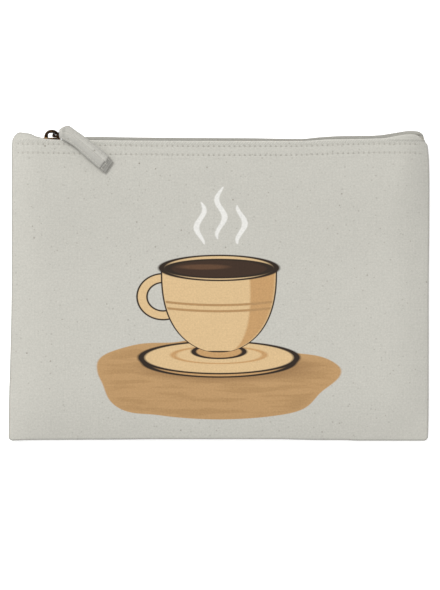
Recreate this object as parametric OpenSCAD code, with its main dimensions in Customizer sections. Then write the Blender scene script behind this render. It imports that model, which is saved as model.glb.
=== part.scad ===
// Flat canvas pouch with a metal zip along its top edge and a folded canvas pull.
// It lies on its back: X runs along the zip, Y from the bottom seam up to the zip,
// and Z is the thickness. The resting face is Z = 0 and the origin is at its centre.

/* [Pouch] */
// Width from side seam to side seam
pouch_w = 249; // [200:1:300]
// Bottom seam's distance below the centre
bottom_y = 89.5; // [70:0.5:110]
// Front lip's fold above the centre
front_fold_y = 88.4; // [70:0.2:110]
// How much higher the back lip's fold stands
back_lip_rise = 1.8; // [1:0.1:3]
// Thickness at the zip, over both lips
lip_t = 13; // [12.6:0.1:16]
// Thickness over the middle of the pouch
belly_t = 9; // [8.5:0.5:11]
// Thickness of one layer of canvas
canvas_t = 0.8; // [0.6:0.1:0.8]
// Depth of the hem folded in behind each lip
hem_depth = 11; // [10:0.5:12]
// Width of the seam allowances turned inside
seam_w = 8; // [6:0.5:10]

/* [Opening] */
// Left end of the part of the front that lifts when the zip is open
mouth_left_x = -60; // [-62:1:-40]
// Right end of the part of the front that lifts
mouth_right_x = 80; // [40:1:82]

/* [Zip] */
// Length from the closed slider's front end to the bottom stop
zip_len = 203; // [180:1:203]
// Distance between teeth on one tape
tooth_pitch = 2.6; // [2.4:0.1:3]
// Width of the closed chain of teeth
chain_w = 5.6; // [5.2:0.1:5.8]
// Thickness of the teeth
chain_t = 2.4; // [2.2:0.1:2.6]
// Thickness of the tape
tape_t = 0.5; // [0.4:0.1:0.6]

/* [Slider] */
// Length of the slider
slider_len = 10.4; // [10:0.2:11]
// Width of the slider at its closed end
slider_w = 7.8; // [7.6:0.1:8]
// Thickness of each of the slider's two plates
plate_t = 1.4; // [1.2:0.1:1.5]
// Height of the crown above the top plate
crown_h = 4.9; // [4.8:0.1:5.4]
// Width of the crown across the chain
crown_w = 2.4; // [1.8:0.1:2.6]

/* [Pull] */
// Wire diameter of the ring
wire_d = 1.3; // [1.2:0.05:1.3]
// Clear width inside the ring
ring_inner_w = 6; // [5.8:0.1:6.4]
// Distance between the ring's two end bars, centre to centre
ring_reach = 5.2; // [5:0.1:5.6]
// Thickness of the folded canvas strip
strip_t = 2.2; // [1.6:0.1:2.2]

/* [Hidden] */

half_w = pouch_w / 2;
back_fold_y = front_fold_y + back_lip_rise;
hem_y = front_fold_y - hem_depth;
back_hem_y = back_fold_y - hem_depth - 1;
// Height of the outer surface of the front where it meets the seams
seam_edge_t = 4 * canvas_t;
// Side seam's swell is this wide over the body and this wide at the lip
body_swell_w = 26;
lip_swell_w = 20;
bottom_swell_h = 32;
// How full the swell is beside a seam
swell_power = 2.2;
// Gap between the parts of the front that move apart
part_gap = 0.4;

chain_y = front_fold_y - 1.4;
mid_z = lip_t / 2;
slider_left_x = -104.4;
slider_right_x = slider_left_x + slider_len;
stop_x = slider_left_x + zip_len;
// The tapes' free edges lie this far below the chain
tape_bottom_y = chain_y - 12.6;
// The tape's edge reaches this far past the outer end of a tooth
tape_bite = 1.4;
run_gap = 0.3;
flange_w = 0.85;

canvas_colour = [0.80, 0.79, 0.75];
hem_colour = [0.76, 0.75, 0.71];
tape_colour = [0.82, 0.80, 0.73];
brass_colour = [0.35, 0.25, 0.13];
thread_colour = [0.88, 0.87, 0.82];

// X stations of the two side portions, closer together near the seam
side_steps = [0, 1, 2.5, 4.5, 7, 10, 13, 16, 20, body_swell_w, 34];
left_xs = [for (s = side_steps) -half_w + s, mouth_left_x - part_gap / 2];
right_xs = [mouth_right_x + part_gap / 2, for (i = [len(side_steps) - 2 : -1 : 0]) half_w - side_steps[i]];
middle_xs = [mouth_left_x + part_gap / 2, mouth_right_x - part_gap / 2];
// The tapes end just past the stops, at stations that the panels share
tape_left_x = -half_w + 13;
tape_right_x = half_w - 16;
tape_left_xs = [for (x = left_xs) if (x >= tape_left_x) x];
tape_right_xs = [for (x = right_xs) if (x <= tape_right_x) x];
body_ys = [
    for (s = [0, 1.5, 3.5, 6, 9, 13, 18, 24, bottom_swell_h]) s - bottom_y,
    -30, 0, 15, 28, 40, 51, 61, 70, hem_y - 0.2
];
front_ys = [each body_ys, hem_y, front_fold_y - 6, front_fold_y];

function clamp01(v) = max(0, min(1, v));
function ease(v) = let(u = clamp01(v)) u * u * (3 - 2 * u);
function swell(v) = 1 - pow(1 - clamp01(v), swell_power);
function swell_w(y) = body_swell_w + (lip_swell_w - body_swell_w) * ease((y - 30) / (hem_y - 32));
// Full height of the front surface along the pouch's centre line
function crest(y) = belly_t + (lip_t - belly_t) * ease((y - 10) / (hem_y - 12));
// Height of the front's outer surface
function front_z(x, y) = seam_edge_t + (crest(y) - seam_edge_t)
    * swell((half_w - abs(x)) / swell_w(y)) * swell((y + bottom_y) / bottom_swell_h);
function front_layers(y) = y < hem_y - 0.1 ? canvas_t : 2 * canvas_t;

// A closed shell between two grids of points, low and high, both [row][column]
module grid_solid(low, high) {
    rows = len(low);
    cols = len(low[0]);
    n = rows * cols;
    points = [for (g = [low, high]) for (row = g) each row];
    skin = [
        for (r = [0 : rows - 2]) for (c = [0 : cols - 2])
            let(a = r * cols + c, b = a + 1, d = a + cols, e = d + 1)
            each [[a, e, b], [a, d, e], [n + a, n + b, n + e], [n + a, n + e, n + d]]
    ];
    ends = [
        for (c = [0 : cols - 2]) let(a = c, b = c + 1, d = (rows - 1) * cols + c, e = d + 1)
            each [[a, n + b, n + a], [a, b, n + b], [d, n + d, n + e], [d, n + e, e]]
    ];
    sides = [
        for (r = [0 : rows - 2]) let(a = r * cols, d = a + cols, b = a + cols - 1, e = b + cols)
            each [[a, n + d, d], [a, n + a, n + d], [b, e, n + e], [b, n + e, n + b]]
    ];
    polyhedron(points = points, faces = [each skin, each ends, each sides]);
}

// One portion of the front: a single layer, and two layers where the hem is folded in
module front_portion(xs) {
    low = [for (x = xs) [for (y = front_ys) [x, y, front_z(x, y) - front_layers(y)]]];
    high = [for (x = xs) [for (y = front_ys) [x, y, front_z(x, y)]]];
    color(canvas_colour) grid_solid(low, high);
}

module front_panel_left() {
    front_portion(left_xs);
}

module front_panel_middle() {
    front_portion(middle_xs);
}

module front_panel_right() {
    front_portion(right_xs);
}

// Outline of the back, with the small ears that stand up past the zip's ends
module back_outline(grow = 0) {
    ear = [[-100, 0], [-107, 2], [-113, 3.8], [-118, 3.4], [-121.5, 0.6], [-half_w, -6]];
    corner_r = 3;
    union() {
        difference() {
            polygon([
                [-half_w, -bottom_y], [half_w, -bottom_y],
                for (i = [len(ear) - 1 : -1 : 0]) [-ear[i][0], back_fold_y + ear[i][1]],
                for (p = ear) [p[0], back_fold_y + p[1]]
            ]);
            for (s = [-1, 1]) translate([s * half_w, -bottom_y]) square(2 * corner_r, center = true);
        }
        for (s = [-1, 1]) translate([s * (half_w - corner_r), corner_r - bottom_y]) circle(corner_r, $fn = 32);
    }
}

module back_panel() {
    color(canvas_colour) {
        linear_extrude(canvas_t) back_outline();
        translate([0, 0, canvas_t]) linear_extrude(canvas_t) intersection() {
            back_outline();
            translate([-half_w, back_hem_y]) square([pouch_w, 30]);
        }
    }
}

// The turned-in edges of both panels, sewn to each other
module side_allowance(side) {
    x = side < 0 ? -half_w : half_w - seam_w;
    translate([x, 6 - bottom_y, canvas_t])
        cube([seam_w, bottom_y + hem_y - 7.5, 2 * canvas_t]);
}

module left_seam_allowance() {
    color(hem_colour) side_allowance(-1);
}

module right_seam_allowance() {
    color(hem_colour) side_allowance(1);
}

module bottom_seam_allowance() {
    color(hem_colour) translate([-half_w + 3, -bottom_y, canvas_t])
        cube([pouch_w - 6, 5.5, 2 * canvas_t - part_gap]);
}

// Zigzag of overlock thread along X, from the origin, points up
module overlock(length, reach) {
    pitch = 3;
    count = floor(length / pitch);
    thread = 0.7;
    linear_extrude(0.3) polygon([
        [0, 0], [count * pitch, 0],
        for (i = [count - 1 : -1 : 0]) each [[(i + 1) * pitch - thread, reach], [i * pitch + thread, 0.8]]
    ]);
}

module left_overlock_thread() {
    color(thread_colour) translate([seam_w - half_w, 9 - bottom_y, 3 * canvas_t]) rotate(90)
        overlock(hem_y + bottom_y - 12, 4);
}

module right_overlock_thread() {
    color(thread_colour) translate([half_w - seam_w, hem_y - 3, 3 * canvas_t]) rotate(-90)
        overlock(hem_y + bottom_y - 12, 4);
}

module bottom_overlock_thread() {
    color(thread_colour) translate([half_w - seam_w - 2, 5.5 - bottom_y, canvas_t + 0.2]) rotate(180)
        mirror([0, 1, 0]) overlock(pouch_w - 2 * seam_w - 4, 2.4);
}

// A tape's section: flat against its hem, then turned towards the chain
module front_tape(xs) {
    color(tape_colour) for (part = [0, 1]) {
        ys = part == 0 ? [tape_bottom_y, hem_y, chain_y + tape_t / 2]
            : [chain_y - tape_t / 2, chain_y + tape_t / 2];
        edge_z = mid_z + chain_w / 2 - tape_bite;
        high = [for (x = xs) [for (y = ys) [x, y, tape_roof(x, y) - part * tape_t]]];
        low = [for (x = xs) [for (y = ys) [x, y, part == 0 ? tape_roof(x, y) - tape_t : edge_z]]];
        grid_solid(low, high);
    }
}

// Top of the front tape, just under the hem
function tape_roof(x, y) = front_z(x, max(y, hem_y)) - 2 * canvas_t - 0.02;

module zip_tape_front_left() {
    front_tape(tape_left_xs);
}

module zip_tape_front_middle() {
    front_tape(middle_xs);
}

module zip_tape_front_right() {
    front_tape(tape_right_xs);
}

module zip_tape_back() {
    length = tape_right_x - tape_left_x;
    color(tape_colour) {
        translate([tape_left_x, tape_bottom_y, 2 * canvas_t])
            cube([length, chain_y - tape_bottom_y + tape_t / 2, tape_t]);
        translate([tape_left_x, chain_y - tape_t / 2, 2 * canvas_t + tape_t])
            cube([length, tape_t, mid_z - chain_w / 2 + tape_bite - 2 * canvas_t - tape_t]);
    }
}

// One tooth in the XZ plane, its head pointing down past the middle
module tooth_outline() {
    leg = 0.6;
    top = chain_w / 2;
    polygon([
        [-leg, top], [-leg, 0.7], [-0.42, 0.2], [-0.5, -0.4], [-0.3, -0.8],
        [0.3, -0.8], [0.5, -0.4], [0.42, 0.2], [leg, 0.7], [leg, top]
    ]);
}

// Teeth on one tape between two X values; the other tape's are half a pitch along
module teeth(from_x, to_x, side) {
    first_x = slider_right_x - 3 + (side < 0 ? tooth_pitch / 2 : 0);
    count = floor((stop_x - 1.2 - first_x) / tooth_pitch);
    color(brass_colour) for (i = [0 : count]) {
        x = first_x + i * tooth_pitch;
        if (x > from_x && x < to_x) translate([x, chain_y, mid_z]) difference() {
            scale_z(side) rotate([90, 0, 0]) linear_extrude(chain_t, center = true) tooth_outline();
            translate([-2, -tape_t / 2, side < 0 ? -5 : chain_w / 2 - tape_bite - 0.05])
                cube([4, tape_t, 5 - chain_w / 2 + tape_bite + 0.05]);
        }
    }
}

// Keeps its children for side 1 and turns them over for side -1
module scale_z(side) {
    if (side > 0) children();
    else mirror([0, 0, 1]) children();
}

module zip_teeth_back() {
    teeth(-200, 200, -1);
}

module zip_teeth_front_left() {
    teeth(-200, mouth_left_x - 0.6, 1);
}

module zip_teeth_front_middle() {
    teeth(mouth_left_x - 0.6, mouth_right_x - 0.7, 1);
}

module zip_teeth_front_right() {
    teeth(mouth_right_x - 0.7, 200, 1);
}

// A block clamped on the tapes' edges
module zip_stop(x, length, low_z, high_z) {
    edge = chain_w / 2 - tape_bite;
    translate([x, chain_y, mid_z]) difference() {
        translate([0, -chain_t / 2, low_z]) cube([length, chain_t, high_z - low_z]);
        for (s = [-1, 1]) scale_z(s)
            translate([-1, -tape_t / 2, edge - 0.05]) cube([length + 2, tape_t, 5]);
    }
}

module zip_top_stops() {
    color(brass_colour) for (s = [-1, 1])
        zip_stop(slider_left_x - 2, 1.5, s > 0 ? 0.9 : -chain_w / 2, s > 0 ? chain_w / 2 : -0.9);
}

module zip_bottom_stop() {
    color(brass_colour) zip_stop(stop_x, 2.6, -chain_w / 2, chain_w / 2);
}

// Rows of stitching below each fold, and the thread's size
first_row = 3.5;
second_row = 9;
thread_w = 0.45;
thread_h = 0.25;

// A row of thread laid on the front, at one distance below the fold
module thread_row(xs, below) {
    y = front_fold_y - below;
    ys = [y - thread_w / 2, y + thread_w / 2];
    low = [for (x = xs) [for (v = ys) [x, v, front_z(x, v)]]];
    high = [for (x = xs) [for (v = ys) [x, v, front_z(x, v) + thread_h]]];
    grid_solid(low, high);
}

module front_topstitch_left() {
    color(thread_colour) for (row = [first_row, second_row])
        thread_row([for (i = [1 : len(left_xs) - 1]) left_xs[i]], row);
}

module front_topstitch_middle() {
    color(thread_colour) for (row = [first_row, second_row]) thread_row(middle_xs, row);
}

module front_topstitch_right() {
    color(thread_colour) for (row = [first_row, second_row])
        thread_row([for (i = [0 : len(right_xs) - 2]) right_xs[i]], row);
}

// The back's two rows, laid on the back tape inside the pouch
module back_topstitch() {
    color(thread_colour) for (row = [first_row, second_row])
        translate([tape_left_x + 2, front_fold_y - row, 2 * canvas_t + tape_t])
        cube([tape_right_x - tape_left_x - 4, thread_w, 0.2]);
}

// The slider's plates and flanges as seen along the chain, in the YZ plane
module slider_section(width) {
    half = width / 2;
    inner = chain_t / 2 + run_gap;
    slot = tape_t / 2 + run_gap;
    difference() {
        square([2 * (inner + plate_t), width], center = true);
        square([2 * inner, width - 2 * flange_w], center = true);
        square([2 * slot, width + 2], center = true);
    }
}

module slider_body() {
    front_len = 4.4;
    front_w = slider_w + 0.2;
    post_len = 3.2;
    color(brass_colour) translate([slider_left_x, chain_y, mid_z]) {
        translate([front_len, 0, 0]) rotate([90, 0, 90]) linear_extrude(slider_len - front_len)
            slider_section(slider_w);
        rotate([90, 0, 90]) linear_extrude(front_len) slider_section(front_w);
        translate([0.6, 0, 0]) rotate([90, 0, 0])
            linear_extrude(chain_t + 2 * run_gap, center = true)
            polygon([[0, 0.5], [post_len / 2, 0.9], [post_len, 0.25],
                [post_len, -0.25], [post_len / 2, -0.9], [0, -0.5]]);
    }
}

plate_y = chain_y + chain_t / 2 + run_gap + plate_t;
eye_y = plate_y + 1.9;
eye_x = slider_right_x - 3.4;
crown_left_x = slider_left_x + 1;
crown_right_x = slider_right_x - 0.4;

// The crown is an arch along the slider, with an eye for the ring across it
module slider_crown() {
    length = crown_right_x - crown_left_x;
    band = 1.9;
    left_leg = 2.2;
    right_leg = 1.7;
    r = length / 2 - 0.2;
    color(brass_colour) translate([crown_left_x, plate_y, mid_z - crown_w / 2])
        linear_extrude(crown_w) difference() {
            crown_outline(length, crown_h, r);
            translate([left_leg, -0.01])
                crown_outline(length - left_leg - right_leg, crown_h - band, 1.2);
        }
}

module crown_outline(length, height, r) {
    intersection() {
        union() {
            translate([r, height - r]) circle(r, $fn = 48);
            translate([length - r, height - r]) circle(r, $fn = 48);
            translate([r, 0]) square([length - 2 * r, height]);
            square([length, height - r]);
        }
        square([length, height]);
    }
}

// The ring's bars lean this much from the thickness direction
ring_lean = 16;
ring_half = (ring_inner_w + wire_d) / 2;

// Places children at the ring's eye end, with their Z along its bars
module at_eye() {
    translate([eye_x, eye_y, mid_z]) rotate([ring_lean, 0, 0]) children();
}

module pull_ring() {
    color(brass_colour) at_eye() {
        for (x = [0, ring_reach]) translate([x, 0, 0])
            cylinder(h = 2 * ring_half, d = wire_d, center = true, $fn = 32);
        for (z = [-ring_half, ring_half]) translate([0, 0, z]) rotate([0, 90, 0])
            cylinder(h = ring_reach, d = wire_d, $fn = 32);
        for (x = [0, ring_reach]) for (z = [-ring_half, ring_half])
            translate([x, 0, z]) sphere(d = wire_d, $fn = 32);
    }
}

// The strip's two long edges, from the loop on the ring to the cut end
strip_lower = [
    [-91.3, 92.4, 9.2], [-91.5, 91.2, 11.8], [-91.2, 90.0, 14.6], [-90.4, 89.0, 15.6], [-88.8, 87.9, 15.8],
    [-86.1, 85.8, 15.7], [-82.3, 82.6, 15.6], [-78.5, 79.3, 15.4], [-74.0, 74.9, 15.2], [-67.4, 69.0, 15.0]
];
strip_upper = [
    [-91.3, 93.8, 4.3], [-92.0, 95.5, 7.6], [-91.2, 96.8, 11.4], [-88.8, 97.0, 14.4], [-85.6, 95.0, 15.8],
    [-80.9, 92.1, 15.9], [-77.0, 89.0, 15.8], [-73.1, 85.8, 15.6], [-68.8, 81.6, 15.4], [-62.7, 75.9, 15.2]
];

function unit(v) = v / norm(v);
// The strip's direction, its face's normal and its half thickness at station i
function strip_along(i) = let(a = max(0, i - 1), b = min(len(strip_lower) - 1, i + 1))
    strip_lower[b] + strip_upper[b] - strip_lower[a] - strip_upper[a];
function strip_face(i) = unit(cross(strip_along(i), strip_upper[i] - strip_lower[i]));
function strip_half(i) = strip_t / 2 * min(1, 0.4 + 0.25 * i);

// The strip between two shares of its width, from one side of its middle layer to another
module strip_band(share_a, share_b, low_side, high_side, lift, extra, first) {
    last = len(strip_lower) - 1;
    function point(i, share, h) =
        strip_lower[i] + share * (strip_upper[i] - strip_lower[i]) + h * strip_face(i);
    low = [for (i = [first : last]) [for (s = [share_a, share_b]) point(i, s, low_side * strip_half(i) + lift)]];
    high = [
        for (i = [first : last])
            [for (s = [share_a, share_b]) point(i, s, high_side * strip_half(i) + lift + extra)]
    ];
    grid_solid(low, high);
}

module pull_strip() {
    bore = wire_d / 2 + 0.08;
    loop_w = ring_inner_w - 0.5;
    loop_r = 1.6;
    color(canvas_colour) {
        strip_band(0, 1, -1, 1, 0, 0, 0);
        at_eye() translate([ring_reach, 0, 0]) difference() {
            cylinder(h = loop_w, r = loop_r, center = true, $fn = 48);
            cylinder(h = loop_w + 1, r = bore, center = true, $fn = 48);
        }
    }
}

module pull_strip_stitching() {
    color(thread_colour) for (share = [0.1, 0.9])
        strip_band(share - 0.025, share + 0.025, 1, 1, 0.1, 0.2, 3);
}

back_panel();
front_panel_left();
front_panel_middle();
front_panel_right();
left_seam_allowance();
right_seam_allowance();
bottom_seam_allowance();
left_overlock_thread();
right_overlock_thread();
bottom_overlock_thread();
zip_tape_back();
zip_tape_front_left();
zip_tape_front_middle();
zip_tape_front_right();
zip_teeth_back();
zip_teeth_front_left();
zip_teeth_front_middle();
zip_teeth_front_right();
zip_top_stops();
zip_bottom_stop();
front_topstitch_left();
front_topstitch_middle();
front_topstitch_right();
back_topstitch();
slider_body();
slider_crown();
pull_ring();
pull_strip();
pull_strip_stitching();
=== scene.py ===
"""Looks of a flat canvas zip pouch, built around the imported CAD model.

The mesh code works in millimetres, in the CAD model's own frame: X along the zip, Y up to the zip,
Z through the front. Only make_mesh, the camera and the lights turn lengths into metres.
"""
import math

import bpy
import numpy as np
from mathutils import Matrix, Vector


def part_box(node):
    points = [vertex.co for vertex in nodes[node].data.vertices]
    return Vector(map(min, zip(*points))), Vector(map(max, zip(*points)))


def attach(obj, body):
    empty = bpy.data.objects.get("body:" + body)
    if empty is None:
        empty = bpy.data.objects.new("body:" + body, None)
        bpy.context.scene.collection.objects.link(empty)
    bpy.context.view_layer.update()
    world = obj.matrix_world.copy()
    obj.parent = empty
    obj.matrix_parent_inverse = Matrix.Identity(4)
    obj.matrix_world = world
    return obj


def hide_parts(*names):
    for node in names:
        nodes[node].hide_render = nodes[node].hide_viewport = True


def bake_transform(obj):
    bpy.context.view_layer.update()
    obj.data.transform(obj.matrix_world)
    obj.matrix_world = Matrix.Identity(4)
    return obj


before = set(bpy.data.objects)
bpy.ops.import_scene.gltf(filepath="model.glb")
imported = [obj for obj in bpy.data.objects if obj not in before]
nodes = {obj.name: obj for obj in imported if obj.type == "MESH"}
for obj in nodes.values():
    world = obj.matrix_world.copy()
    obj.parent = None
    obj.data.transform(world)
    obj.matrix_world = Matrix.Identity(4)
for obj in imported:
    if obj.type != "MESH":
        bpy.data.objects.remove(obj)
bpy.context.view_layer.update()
MM = 0.001


def cad_box(node):
    """Lowest and highest corner of a CAD node, in millimetres."""
    low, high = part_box(node)
    return np.array(low) / MM, np.array(high) / MM


# ------------ sizes

BACK_LOW, BACK_HIGH = cad_box("back_panel")
LIP_LOW, LIP_HIGH = cad_box("front_panel_middle")
TEETH_LOW, TEETH_HIGH = cad_box("zip_teeth_back")
SLIDER_LOW, SLIDER_HIGH = cad_box("slider_body")
# Each tape's lower edge, which lies on the hem
FRONT_TAPE_LOW_Y = cad_box("zip_tape_front_middle")[0][1]
BACK_TAPE_LOW_Y = cad_box("zip_tape_back")[0][1]

HALF_W = BACK_HIGH[0]
BOTTOM = BACK_LOW[1]
FOLD = LIP_HIGH[1]
LIP_Z = LIP_HIGH[2]
# The back's raised right corner stands this far above its straight lip
EAR_RISE = 3.8
BACK_FOLD = BACK_HIGH[1] - EAR_RISE
CHAIN_Y = (TEETH_LOW[1] + TEETH_HIGH[1]) / 2
MID_Z = (SLIDER_LOW[2] + SLIDER_HIGH[2]) / 2
TAPE_T = 0.5
# Each tape ends this far from the middle of the teeth
BITE = 1.4
TOOTH_PITCH = 2.6
HALF_TOOTH = 0.6

CLOTH_T = 0.74
# Half the thickness of the two layers at a folded edge
FOLD_R = 0.78
# The front's height at its outer edges and in the middle, and the widths over which it falls to the edges
EDGE_Z = 3.2
BELLY_Z = 9.0
SIDE_FALL = 26
LIP_SIDE_FALL = 20
BOTTOM_FALL = 32
HEM_DEPTH = 11.0
HEM_STEP = 0.1
SIDE_ALLOWANCE = 8.0
BOTTOM_ALLOWANCE = 6.0
# A seam's roll, seen from the front, is this wide
ROLL_W = 1.25
# Painted shade: the cloth's colour is darkened along its outer edges, in the gap behind the front's folded
# edge and on the turned-in layer inside the back lip
EDGE_PAINTED_SHADE = 0.34
EDGE_PAINTED_SHADE_W = 1.15
GAP_PAINTED_SHADE = 0.34
INSIDE_PAINTED_SHADE = 0.84

STITCH_PITCH = 3.05
STITCH_ROWS = (3.0, 8.2)
STITCH_END = 119.0
THREAD_R = 0.2
STITCH_PULL = 0.24

# The front lifts between these two places along the zip
MOUTH_LEFT, MOUTH_RIGHT = LIP_LOW[0], LIP_HIGH[0]

# How far each edge lies from its straight CAD line, along that edge
FRONT_FOLD_RISE = [
    (-124, 4.8), (-121, 4.9), (-118, 4.6), (-115, 4.15), (-112.7, 3.5), (-110.3, 2.4), (-107.5, 1.8),
    (-104, 0.8), (-93, 0.2), (-74, 0.0), (-35, -0.3), (12, -0.4), (50, -0.4), (66, 0.5), (82, 0.75),
    (98.6, 1.15), (107, 2.4), (113.7, 3.45), (117.4, 3.6), (121.8, 2.7), (124, 1.9),
]
LIP_LINE_RISE = [
    (-124, 1.1), (-95, 0.6), (-74, 0.1), (-35, -0.3), (12, -0.6), (42, -0.5), (78, 0.6), (95, 0.9),
    (124, 0.8),
]
BACK_FOLD_RISE = [
    (-124, 2.4), (-118, 2.3), (-112, 0.7), (-107, -1.0), (-100, -1.4), (-86, 0.3), (-78, 0.75), (-72, 0.75),
    (-54, 0.45), (-35, 0.25), (0, 0.05), (19, -0.05), (37, -0.35), (50, -0.45), (62, 0.55), (74, 1.2),
    (92, 1.4), (98, 1.75), (104, 2.6), (110, 3.55), (114, 4.15), (117, 4.3), (120, 4.1), (124, 3.6),
]
FRONT_LEFT_INSET = [
    (-90, -0.5), (-84, -0.3), (-70, -0.2), (-53, 0.3), (-36, 0.8), (-20, 1.2), (-3, 1.5), (14, 1.6),
    (85, 1.6), (88, 1.95), (90, 2.2), (92, 2.6),
]
FRONT_RIGHT_INSET = [
    (-90, 0.7), (-80, 0.25), (-60, 0.1), (0, 0.05), (20, -0.1), (40, -0.3), (64, -0.35), (76, -0.1),
    (83, 0.45), (86.2, 0.9), (88, 1.9), (90, 3.0), (92, 3.3),
]
BACK_LEFT_INSET = [(-90, 0.0), (-70, 0.2), (-36, 1.2), (-3, 1.9), (14, 2.0), (84, 2.1), (94, 2.8)]
BACK_RIGHT_INSET = [
    (-90, 1.0), (-60, 0.5), (20, 0.4), (64, 0.1), (76, 0.3), (83, 0.8), (86.2, 1.2), (88, 2.1), (90, 2.9),
    (94, 3.0),
]
BOTTOM_RISE = [
    (-124, 0.1), (-119, 0.2), (-112, 0.4), (-90, 0.58), (-53, 0.77), (-35, 0.95), (36, 0.95), (48, 0.66),
    (60, 0.46), (74, 0.38), (84, 0.08), (124, 0.05),
]


# ------------ shape functions


def smooth(v):
    """A soft step from 0 to 1."""
    v = np.clip(v, 0, 1)
    return v * v * (3 - 2 * v)


def swell(v):
    """A rise from 0 to 1 that is steep at first and level at its end."""
    return 1 - (1 - np.clip(v, 0, 1)) ** 2.2


def through(knots, x):
    """A smooth curve through the knots that never swings past them, held level past its ends."""
    kx, ky = np.array(knots, float).T
    run = np.diff(ky) / np.diff(kx)
    before, after = run[:-1], run[1:]
    same_way = before * after > 0
    slope = np.zeros_like(ky)
    slope[1:-1] = np.where(same_way, 2 * before * after / np.where(same_way, before + after, 1), 0)
    slope[0], slope[-1] = run[0], run[-1]
    x = np.clip(x, kx[0], kx[-1])
    i = np.clip(np.searchsorted(kx, x) - 1, 0, len(kx) - 2)
    h = kx[i + 1] - kx[i]
    t = (x - kx[i]) / h
    return (
        (1 + 2 * t) * (1 - t) ** 2 * ky[i]
        + t * (1 - t) ** 2 * h * slope[i]
        + t * t * (3 - 2 * t) * ky[i + 1]
        - t * t * (1 - t) * h * slope[i + 1]
    )


def lip_line(x):
    """The straight part of the front lip, which the stitching follows past the raised ears."""
    return FOLD + through(LIP_LINE_RISE, x)


def crest(y):
    """Height of the front along the middle of the pouch."""
    return BELLY_Z + (LIP_Z - BELLY_Z) * smooth((y - 10) / (FOLD - HEM_DEPTH - 12))


def body_height(x, y):
    """Height of the front's outer surface before its small creases."""
    side_w = SIDE_FALL + (LIP_SIDE_FALL - SIDE_FALL) * smooth((y - 30) / 45)
    from_edges = swell((HALF_W - np.abs(x)) / side_w) * swell((y - BOTTOM) / BOTTOM_FALL)
    return EDGE_Z + (crest(y) - EDGE_Z) * from_edges


def ear_crease(x, y):
    """The faint fold across the foot of the right ear."""
    return np.exp(-(((y - FOLD + 0.3) / 0.5) ** 2)) * smooth((x - 98) / 6) * smooth((123.5 - x) / 2)


def creases(x, y):
    """Slack in the cloth, the hem's step and the pull of each stitch."""
    from_side = HALF_W - np.abs(x)
    inner = smooth(from_side / 30) * smooth((y - BOTTOM) / 34) * smooth((FOLD - 8 - y) / 30)
    slack = (
        0.26 * np.sin(x / 17 + y / 41 + 0.6)
        + 0.22 * np.sin(x / 29 - y / 19 + 2.1)
        + 0.12 * np.sin(x / 9.5 + y / 13)
    )
    below = lip_line(x) - y
    phase = 2 * np.pi * x / STITCH_PITCH
    hem_step = HEM_STEP * (smooth((HEM_DEPTH + 0.8 - below) / 1.6) - 1) * smooth(from_side / 12)
    pull = np.zeros_like(x)
    for row in STITCH_ROWS:
        off = (below - row) / 0.75
        pull -= STITCH_PULL * np.exp(-off * off) * (0.5 + 0.5 * np.cos(phase))
    edge = np.exp(-(((below - 1.25) / 0.75) ** 2))
    ticks = 0.17 * edge * np.cos(phase + 2.2 * (below - 1.25))
    along_sides = np.exp(-(((from_side - 3.5) / 2.6) ** 2))
    side_pull = 0.11 * along_sides * np.sin(y / 2.3 + 1.7 * np.sin(y / 9)) * smooth((y - BOTTOM) / 12)
    along_bottom = np.exp(-(((y - BOTTOM - 3.8) / 2.6) ** 2))
    bottom_pull = 0.1 * along_bottom * np.sin(x / 2.5 + 1.9 * np.sin(x / 11)) * smooth(from_side / 9)
    fade = smooth((STITCH_END + 2 - np.abs(x)) / 3)
    ear_fold = -0.35 * ear_crease(x, y)
    return slack * inner + hem_step + (pull + ticks) * fade + side_pull + bottom_pull + ear_fold


def front_height(x, y):
    """Height of the front's outer surface."""
    return body_height(x, y) + creases(x, y)


def back_height(x, y):
    """The back lies flat on the table."""
    return np.zeros_like(x)


def mouth_share(x):
    """How much of the mouth's turn the front takes at x: none where it is sewn down, all in the middle."""
    t = np.clip((x - MOUTH_LEFT) / (MOUTH_RIGHT - MOUTH_LEFT), 0, 1)
    return np.sin(np.pi * t) ** 2


# ------------ mesh helpers


def make_mesh(name, points, faces, cloth=None, **numbers):
    """An object from points in millimetres. cloth is each point's place on the flat, uncut cloth."""
    mesh = bpy.data.meshes.new(name)
    mesh.from_pydata((np.asarray(points, float) * MM).tolist(), [], [list(map(int, f)) for f in faces])
    mesh.validate()
    if cloth is not None:
        mesh.attributes.new("cloth", "FLOAT_VECTOR", "POINT").data.foreach_set(
            "vector", np.asarray(cloth, np.float32).ravel()
        )
    for key, values in numbers.items():
        mesh.attributes.new(key, "FLOAT", "POINT").data.foreach_set("value", np.asarray(values, np.float32))
    mesh.polygons.foreach_set("use_smooth", [True] * len(mesh.polygons))
    obj = bpy.data.objects.new(name, mesh)
    bpy.context.scene.collection.objects.link(obj)
    return obj


def grid_faces(rows, cols, start=0, wrap=False):
    """Quads of a grid that numbers its points row by row. wrap joins the last column to the first."""
    r, c = np.meshgrid(np.arange(rows - 1), np.arange(cols if wrap else cols - 1), indexing="ij")
    nxt = (c + 1) % cols
    a, b = start + r * cols + c, start + r * cols + nxt
    d, e = a + cols, b + cols
    return np.stack([a, b, e, d], -1).reshape(-1, 4)


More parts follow.
